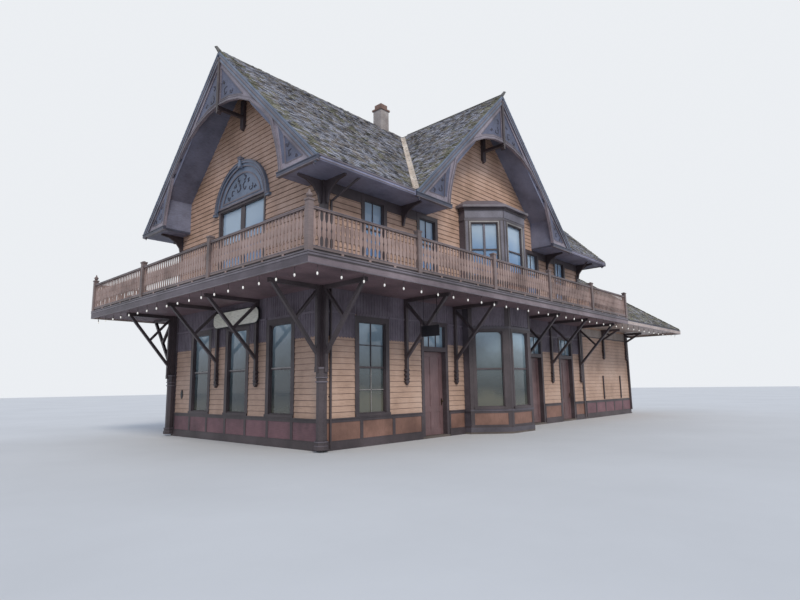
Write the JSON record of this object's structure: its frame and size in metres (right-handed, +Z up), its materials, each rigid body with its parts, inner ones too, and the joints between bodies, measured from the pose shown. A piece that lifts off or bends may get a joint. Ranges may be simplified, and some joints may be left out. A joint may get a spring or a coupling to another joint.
{
  "type": "timber railway station",
  "caption": "Two-storey timber station with a wrap-round balcony, arched bargeboards on crossed gables, a bay window and a freight wing; the platform doors open.",
  "frame": {"origin": "middle of the two-storey block's plan, on the ground it stands on", "axes": "+X along the tracks towards the freight wing, +Y away from the tracks, +Z up"},
  "size_m": [24.48, 12.16, 12.87],
  "materials": {
    "siding_lower": "painted, weathered",
    "siding_upper": "painted, weathered",
    "dark_trim": "painted, matt",
    "baluster_red": "painted, matt",
    "door_red": "painted, satin",
    "shingles": "weathered",
    "decking": "bare, weathered",
    "glass": "clear",
    "ridge_metal": "weathered",
    "brick": "brick, matt"
  },
  "bodies": {
    "building": {"foundation": "decking", "near_wall": "siding_lower", "track_wall_piers": "siding_lower", "track_wall_lintels": "siding_lower", "rear_wall": "siding_lower", "near_gable_wall": "siding_upper", "far_wall": "siding_upper", "upper_side_walls": "siding_upper", "cross_gable_walls": "siding_upper", "bay_walls": "siding_lower", "oriel_cap": "shingles", "balcony_floor": "decking", "balcony_fascia": "dark_trim", "railing_posts": "dark_trim", "rails": "dark_trim", "end_balusters": "baluster_red", "track_balusters": "baluster_red", "rear_balusters": "baluster_red", "corner_columns": "dark_trim", "brackets": "dark_trim", "main_roof": "shingles", "cross_roof": "shingles", "ridge_cap": "ridge_metal", "chimney": "brick", "chimney_cap": "brick", "bargeboards": "dark_trim", "king_posts": "dark_trim", "gable_soffits": "dark_trim", "boxed_eaves": "dark_trim", "freight_walls": "siding_lower", "freight_roof": "shingles", "freight_eave": "dark_trim", "lower_windows": "dark_trim", "lower_glass": "glass", "upper_windows": "dark_trim", "upper_glass": "glass", "gable_hood": "dark_trim", "door_frames": "dark_trim", "wainscot": "dark_trim", "upper_trim": "dark_trim", "eave_braces": "dark_trim", "downspouts": "dark_trim"},
    "near_leaf": {"door_near": "door_red"},
    "middle_leaf": {"door_middle": "door_red"},
    "far_leaf": {"door_far": "door_red"}
  },
  "joints": [
    {"name": "near_door_hinge", "type": "hinge", "parent": "building", "child": "near_leaf", "pos_m": [-3.5965, -3.757, 1.315], "axis": [0, 0, 1], "range_deg": [0, 100]},
    {"name": "middle_door_hinge", "type": "hinge", "parent": "building", "child": "middle_leaf", "pos_m": [3.5965, -3.757, 1.315], "axis": [0, 0, -1], "range_deg": [0, 100]},
    {"name": "far_door_hinge", "type": "hinge", "parent": "building", "child": "far_leaf", "pos_m": [5.2335, -3.757, 1.315], "axis": [0, 0, 1], "range_deg": [0, 100]}
  ]
}
